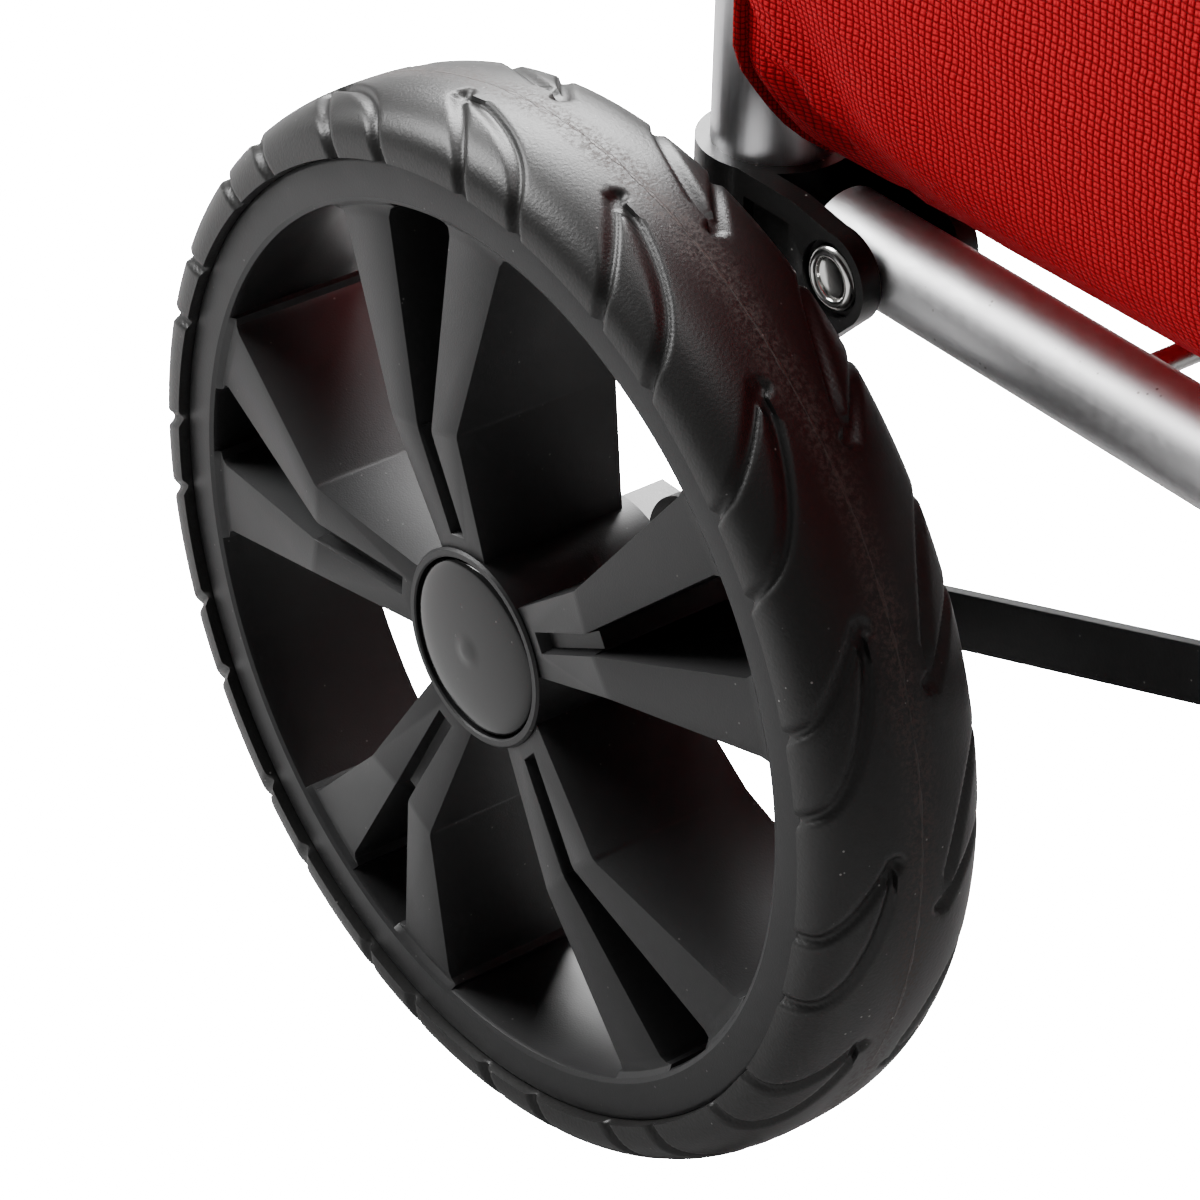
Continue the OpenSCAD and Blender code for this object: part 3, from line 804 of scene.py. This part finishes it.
def make_tyre(side):
    lift = tyre_radius - rim_radius
    mid = tyre_proud - tyre_half
    # evenly spaced points along the section
    dense = np.linspace(-math.pi / 2, math.pi / 2, 2001)
    dense_r = lift * np.abs(np.cos(dense)) ** (2 / section_power)
    dense_z = tyre_half * np.sign(dense) * np.abs(np.sin(dense)) ** (2 / section_power)
    length = np.concatenate([[0], np.cumsum(np.hypot(np.diff(dense_r), np.diff(dense_z)))])
    even = np.linspace(0, length[-1], section_points)
    rise = np.interp(even, length, dense_r)
    spread = np.interp(even, length, dense_z)
    seat = 0.35 * MM
    section = [(rim_radius + seat + r * (lift - seat) / lift, mid + z) for r, z in zip(rise, spread)]
    inner = rim_radius + 0.05 * MM
    section = [(inner, mid - tyre_half + 2 * MM)] + section + [(inner, mid + tyre_half - 2 * MM)]
    ring = turned(section, steps=round_steps)
    place = np.array([v.co for v in ring.verts])
    radius = np.hypot(place[:, 0], place[:, 1])
    angle = np.degrees(np.arctan2(place[:, 1], place[:, 0]))
    out_r = np.clip((radius - rim_radius) / lift, 0, 1)
    out_z = np.clip((place[:, 2] - mid) / tyre_half, -1, 1)
    bend = np.arctan2(np.abs(out_z) ** (section_power / 2), out_r ** (section_power / 2)) * np.sign(out_z)
    along = (length[-1] - np.interp(bend, dense, length)) / MM
    whole = length[-1] / MM
    outer_depth = leaf_depth(angle, along)
    inner_depth = leaf_depth(1.33 - angle, whole - along)
    outer_depth = np.where(along < whole / 2, outer_depth, 0)
    inner_depth = np.where(along > whole / 2, inner_depth, 0)
    skin = (radius > rim_radius + 0.3 * MM)
    sink = np.maximum(outer_depth, inner_depth) * tread_deep * skin
    towards_r = rim_radius - radius
    towards_z = mid - place[:, 2]
    reach = np.hypot(towards_r, towards_z) + 1e-9
    scale = (radius + towards_r / reach * sink) / np.maximum(radius, 1e-9)
    for vert, grow, drop in zip(ring.verts, scale, towards_z / reach * sink):
        vert.co = (vert.co.x * grow, vert.co.y * grow, vert.co.z + drop)
    stand_up(ring, side)
    return finished_piece(side + "_tyre_piece", ring, tyre_rubber, side + "_wheel",
                          (side + "_tyre",), 60)


for side in ("right", "left"):
    make_tyre(side)

# %% [markdown]
# ## The platform's rivets
#
# A semi-tubular rivet carries each side of the platform. Its head is a bright rolled ring round a
# shallow dish. One outline, spun about the rivet's own line, gives the ring and the dish together.

# %% Rivets
rivet_low, rivet_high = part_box("pivot_rivets")
rivet_x = (rivet_low.x + rivet_high.x) / 2
rivet_z = (rivet_low.z + rivet_high.z) / 2
head_r = 6.6 * MM
cup_r = 4.0 * MM
shank_r = 3 * MM


def rivet_head(outward_y, direction):
    dish = [(0, -0.8 * MM), (cup_r * 0.75, -0.9 * MM), (cup_r, -0.5 * MM)]
    ring = [(cup_r + 0.1 * MM, 0.3 * MM), (cup_r + 0.6 * MM, 0.85 * MM), (cup_r + 1.2 * MM, 0.9 * MM),
            (head_r - 0.4 * MM, 0.35 * MM), (head_r, -0.4 * MM), (head_r, -1.2 * MM)]
    head = turned(dish + ring + [(0, -3.2 * MM)], 96, closed=False)
    tip_over(head, 90 if direction < 0 else -90)
    bmesh.ops.translate(head, vec=(rivet_x, outward_y, rivet_z), verts=head.verts)
    return head


def make_rivets():
    rivets = bmesh.new()
    outer = -rivet_low.y
    bracket_low, bracket_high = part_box("right_pivot_bracket")
    inner = -bracket_high.y
    for side in (-1, 1):
        add_to(rivets, rivet_head(side * (outer - 0.6 * MM), side))
        add_to(rivets, rivet_head(side * (inner + 0.3 * MM), -side))
        shank = turned([(0, -14 * MM), (shank_r, -14 * MM), (shank_r, 11 * MM), (0, 11 * MM)], 32,
                       closed=False)
        tip_over(shank)
        bmesh.ops.translate(shank, vec=(rivet_x, side * (outer + inner) / 2, rivet_z), verts=shank.verts)
        add_to(rivets, shank)
    bmesh.ops.recalc_face_normals(rivets, faces=rivets.faces)
    return finished_piece("pivot_rivets_piece", rivets, rivet_plated, body_of_node["pivot_rivets"],
                          ("pivot_rivets",), 50)


make_rivets()

# %% [markdown]
# ## The handle's grip
#
# The grip is a sleeve of closed foam that is stretched over the handle. Its ends are rounded, and the
# foam is a little fuller in the middle, where the hand has not pressed it against the tube's ends.

# %% Foam grip
def make_grip():
    low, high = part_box("handle_grip")
    half = (high.y - low.y) / 2
    outer = (high.z - low.z) / 2
    tube_r = 10 * MM
    soft = 5 * MM
    outline = [(tube_r, -half)]
    outline += [(outer - soft + soft * math.sin(a), -half + soft - soft * math.cos(a))
                for a in np.linspace(0, math.pi / 2, 6)]
    outline += [(outer - 0.2 * MM * math.sin(math.pi * y / (2 * half)) ** 2, y)
                for y in np.linspace(-half + 12 * MM, half - 12 * MM, 15)]
    outline += [(outer - soft + soft * math.cos(a), half - soft + soft * math.sin(a))
                for a in np.linspace(0, math.pi / 2, 6)]
    outline += [(tube_r, half)]
    grip = turned(outline, 96)
    tip_over(grip)
    bmesh.ops.translate(grip, vec=(low + high) / 2, verts=grip.verts)
    bmesh.ops.recalc_face_normals(grip, faces=grip.faces)
    piece = finished_piece("handle_grip_piece", grip, grip_foam, "handle", ("handle_grip",), 50)
    return piece


make_grip()

# %% [markdown]
# ## The bag
#
# The bag is one soft shell, open at the top, that rests on the platform and leans on the uprights. It
# starts as an open box with a fine grid of faces, whose corners are rounded and whose sides swell a
# little above the floor. A short cloth simulation then lets the panels belly out and sag between
# their seams. The flat cloth coordinates are stored first, so the weave follows the cloth.

# %% The bag's starting form
bag_size = bag_high - bag_low
bag_mid = (bag_low + bag_high) / 2
edge_round = 7 * MM
floor_round = 12 * MM
floor_rise = 0.02
base_half_w = 175 * MM
width_by_height = [(0, 128), (7, 139), (14, 153), (20, 161), (28, 168), (38, 175), (60, 179), (120, 181),
                   (320, 176), (515, 169)]
cells = (34, 48, 72)
row_crowding = 1.35
fold_x = 9 * MM
fold_z = 44 * MM


def corner_fold(forward, height):
    """How far the side panel sinks where the rear lower corner gathers it into a slanting fold."""
    from_x = forward - fold_x
    from_z = height - fold_z
    slant_off = from_x * 0.78 + from_z * 0.62
    along = from_x * 0.62 - from_z * 0.78
    reach = max(0.0, 1 - abs(along - 12 * MM) / (38 * MM))
    valley = 4.5 * MM * math.exp(-(slant_off / (4.5 * MM)) ** 2)
    ridge = 2.5 * MM * math.exp(-((slant_off - 13 * MM) / (7 * MM)) ** 2)
    return reach * (valley - ridge)


def loft_bag():
    bm = bmesh.new()
    bmesh.ops.create_cube(bm, size=2)
    for axis, cuts in enumerate(cells):
        edges = [e for e in bm.edges if abs(e.verts[0].co[axis] - e.verts[1].co[axis]) > 1.5]
        bmesh.ops.subdivide_edges(bm, edges=edges, cuts=cuts - 1, use_grid_fill=True)
    lid = [f for f in bm.faces if min(v.co.z for v in f.verts) > 0.999]
    bmesh.ops.delete(bm, geom=lid, context="FACES")
    half = Vector((bag_size.x / 2, base_half_w, bag_size.z / 2))
    flat = bm.loops.layers.uv.new("cloth")
    for face in bm.faces:
        mid = face.calc_center_median()
        side = max(range(3), key=lambda k: abs(mid[k]))
        u_axis, v_axis = ((1, 2), (0, 2), (0, 1))[side]
        for loop in face.loops:
            loop[flat].uv = (loop.vert.co[u_axis] * half[u_axis], loop.vert.co[v_axis] * half[v_axis])
    corner = {}
    for vert in bm.verts:
        on = tuple(round(c, 4) for c in vert.co)
        if abs(on[0]) == 1 and abs(on[1]) == 1:
            corner.setdefault(("upright", on[0], on[1]), []).append((on[2], vert.index))
        if on[2] == -1 and abs(on[0]) == 1:
            corner.setdefault(("floor_x", on[0]), []).append((on[1], vert.index))
        if on[2] == -1 and abs(on[1]) == 1:
            corner.setdefault(("floor_y", on[1]), []).append((on[0], vert.index))
    levels = np.array(width_by_height, float) * MM
    for vert in bm.verts:
        share = (vert.co.z + 1) / 2
        height = bag_size.z * share ** row_crowding
        place = Vector((vert.co.x * half.x, vert.co.y * half.y, 0))
        inner = Vector((max(edge_round - half.x, min(half.x - edge_round, place.x)),
                        max(edge_round - half.y, min(half.y - edge_round, place.y)), 0))
        off = place - inner
        if off.length > 1e-9 and max(abs(vert.co.x), abs(vert.co.y)) > 0.999:
            place = inner + off.normalized() * edge_round
        under = max(0.0, floor_round - height)
        inset = floor_round - math.sqrt(floor_round ** 2 - under ** 2)
        place.x *= 1 - inset / half.x
        place.y *= 1 - inset / half.y
        place.y *= np.interp(height, levels[:, 0], levels[:, 1]) / base_half_w
        forward = place.x + half.x
        height += floor_rise * forward * max(0.0, 1 - height / (200 * MM))
        place.y -= math.copysign(corner_fold(forward, height), place.y)
        vert.co = Vector((bag_mid.x + place.x, bag_mid.y + place.y, bag_low.z + height))
    bm.verts.index_update()
    bmesh.ops.recalc_face_normals(bm, faces=bm.faces)
    return bm, corner


bag_bm, bag_corners = loft_bag()
print("bag form:", len(bag_bm.faces), "faces,", len(bag_corners), "seam lines")

# %% [markdown]
# The cloth is pinned where it is held: at the stiff board in its floor, at the hem that the loops
# carry, and a little along the back. Light air pressure stands for what the bag holds. No point may
# move more than a few millimetres, so the bag stays in the space the model keeps for it.

# %% Letting the cloth settle
settle_frames = 20
settle_cap = 7 * MM


def settle(piece):
    start = np.array([v.co for v in piece.data.vertices])
    held = piece.vertex_groups.new(name="held")
    for index, place in enumerate(start):
        floor_hold = np.interp(place[2] - bag_low.z, [6 * MM, 30 * MM], [1.0, 0.25])
        hem_hold = np.interp(bag_high.z - place[2], [4 * MM, 40 * MM], [1.0, 0.0])
        back_hold = np.interp(place[0] - bag_low.x, [1 * MM, 20 * MM], [0.9, 0.0])
        held.add([index], float(max(floor_hold, hem_hold, back_hold)), "REPLACE")
    cloth = piece.modifiers.new("settle", "CLOTH")
    cloth.settings.vertex_group_mass = "held"
    cloth.settings.mass = 0.4
    cloth.settings.tension_stiffness = 12
    cloth.settings.compression_stiffness = 6
    cloth.settings.bending_stiffness = 0.4
    cloth.settings.use_pressure = True
    cloth.settings.uniform_pressure_force = 2.5
    cloth.settings.effector_weights.gravity = 0.4
    cloth.point_cache.frame_start = 1
    cloth.point_cache.frame_end = settle_frames
    for frame_number in range(1, settle_frames + 1):
        bpy.context.scene.frame_set(frame_number)
    graph = bpy.context.evaluated_depsgraph_get()
    moved = np.array([v.co for v in piece.evaluated_get(graph).data.vertices])
    piece.modifiers.remove(cloth)
    piece.vertex_groups.remove(held)
    shift = moved - start
    far = np.linalg.norm(shift, axis=1, keepdims=True)
    shift *= np.minimum(1, settle_cap / np.maximum(far, 1e-9))
    piece.data.vertices.foreach_set("co", (start + shift).ravel())
    piece.data.update()
    bpy.context.scene.frame_set(1)
    print(f"the cloth moved by up to {far.max() / MM:.1f} mm, kept to {settle_cap / MM:.0f} mm")


def soft_on_platform(piece):
    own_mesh(piece)
    return piece


bag = finished_piece("bag_piece", bag_bm, bag_fabric, body_of_node["bag_shell"],
                     ("bag_shell",), 70)
settle(bag)

# %% [markdown]
# The bag's trim is cut from the settled shell itself, so it lies on the cloth everywhere: a hem band
# round the mouth, a patch pocket on the front, and a bound seam along every edge where two panels
# meet. A patch is a copy of the chosen faces, lifted off the cloth by the trim's thickness.

# %% Hem, pocket and bound seams
def patch_of(name, chosen, lift, thickness, finish):
    bm = bmesh.new()
    bm.from_mesh(bag.data)
    out = [f for f in bm.faces if not chosen(f.calc_center_median(), f.normal)]
    bmesh.ops.delete(bm, geom=out, context="FACES")
    bm.normal_update()
    moves = [(v, v.normal * lift) for v in bm.verts]
    for vert, move in moves:
        vert.co += move
    piece = finished_piece(name, bm, finish, "frame", (), 70)
    thicken(piece, thickness)
    return piece


def hem_faces(place, normal):
    return place.z > bag_high.z - 22 * MM


def pocket_faces(place, normal):
    up = place.z - bag_low.z
    return normal.x > 0.8 and abs(place.y) < 118 * MM and 95 * MM < up < 300 * MM


bag_hem = patch_of("bag_hem", hem_faces, 0.6 * MM, 3.2 * MM, bag_webbing)
bag_pocket = patch_of("bag_pocket", pocket_faces, 1.6 * MM, 1.4 * MM, bag_fabric)


def lay_flat(bm, flat_of):
    """Stores flat cloth coordinates worked out from each corner's place."""
    flat = bm.loops.layers.uv.new("cloth")
    for face in bm.faces:
        for loop in face.loops:
            loop[flat].uv = flat_of(loop.vert.co)


def bound_seam(name, runs, radius, lift):
    seams = bmesh.new()
    mesh = bag.data
    for points in runs:
        line = bpy.data.curves.new(name + "_line", "CURVE")
        line.dimensions = "3D"
        line.bevel_depth = radius
        line.bevel_resolution = 3
        line.use_fill_caps = True
        spline = line.splines.new("POLY")
        spline.points.add(len(points) - 1)
        for knot, index in zip(spline.points, points):
            vert = mesh.vertices[index]
            knot.co = (*(vert.co + vert.normal * lift), 1)
        rope = bpy.data.objects.new(name + "_line", line)
        bpy.context.scene.collection.objects.link(rope)
        made = rope.to_mesh()
        seams.from_mesh(made)
        rope.to_mesh_clear()
        bpy.data.objects.remove(rope)
        bpy.data.curves.remove(line)
    lay_flat(seams, lambda place: (place.x + place.y, place.z))
    return finished_piece(name, seams, bag_webbing, "frame", (), 70)


seam_runs = [[index for at, index in sorted(points)] for points in bag_corners.values()]
bag_seams = bound_seam("bag_seams", seam_runs, 1.5 * MM, 0.5 * MM)

thicken(bag, 1.4 * MM, offset=-1)
for piece in (bag, bag_hem, bag_pocket, bag_seams):
    soft_on_platform(piece)

# %% [markdown]
# A stiff board covered in cloth lies in the bag's floor; on the real truck it folds up flat with the bag.
# Like the bag's pieces, it is given a mesh of its own.

# %% Floor board
board_low, board_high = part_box("bag_board")
board_bm = bmesh.new()
bmesh.ops.create_cube(board_bm, size=1)
bmesh.ops.scale(board_bm, vec=board_high - board_low, verts=board_bm.verts)
bmesh.ops.translate(board_bm, vec=(board_low + board_high) / 2, verts=board_bm.verts)
upright_edges = [e for e in board_bm.edges if abs(e.verts[0].co.z - e.verts[1].co.z) > 1 * MM]
bmesh.ops.bevel(board_bm, geom=upright_edges, offset=14 * MM, segments=6, profile=0.5, affect="EDGES",
                material=-1)
board = finished_piece("bag_board_piece", board_bm, board_finish, body_of_node["bag_board"],
                       ("bag_board",), 40)
round_edges(board, 0.8 * MM)
soft_on_platform(board)

# %% [markdown]
# Two webbing loops hang the bag from the upper cross tube. Each is a strip that comes up from the
# bag's back, goes over the tube and is sewn down again.

# %% Webbing loops
def make_loops():
    low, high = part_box("bag_loops")
    tube_low, tube_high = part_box("upper_cross_tube")
    tube = (tube_low + tube_high) / 2
    tube_r = (tube_high.z - tube_low.z) / 2
    strip_w = 25 * MM
    gap = 1.1 * MM
    loops = bmesh.new()
    reach = bag_low.x - 0.6 * MM
    path = [(reach, tube.z - 36 * MM), (reach, tube.z - 20 * MM), (reach - 0.5 * MM, tube.z - 6 * MM)]
    path += [(tube.x + (tube_r + gap) * math.cos(a), tube.z + (tube_r + gap) * math.sin(a))
             for a in np.linspace(0.1, 1.5 * math.pi + 0.35, 22)]
    path += [(reach - 2.4 * MM, tube.z - 17 * MM), (reach - 2.0 * MM, tube.z - 34 * MM)]
    for middle in ((low.y + strip_w / 2), (high.y - strip_w / 2)):
        verts = [loops.verts.new((x, middle - strip_w / 2, z)) for x, z in path]
        edges = [loops.edges.new(pair) for pair in zip(verts, verts[1:])]
        pulled = bmesh.ops.extrude_edge_only(loops, edges=edges)
        far_side = [v for v in pulled["geom"] if isinstance(v, bmesh.types.BMVert)]
        bmesh.ops.translate(loops, vec=(0, strip_w, 0), verts=far_side)
    lay_flat(loops, lambda place: (place.y, place.z + place.x))
    bmesh.ops.recalc_face_normals(loops, faces=loops.faces)
    piece = finished_piece("bag_loops_piece", loops, bag_webbing, body_of_node["bag_loops"],
                           ("bag_loops",), 60)
    thicken(piece, 1.5 * MM)


make_loops()

# %% [markdown]

# %% Sizes
print("all pieces are made")
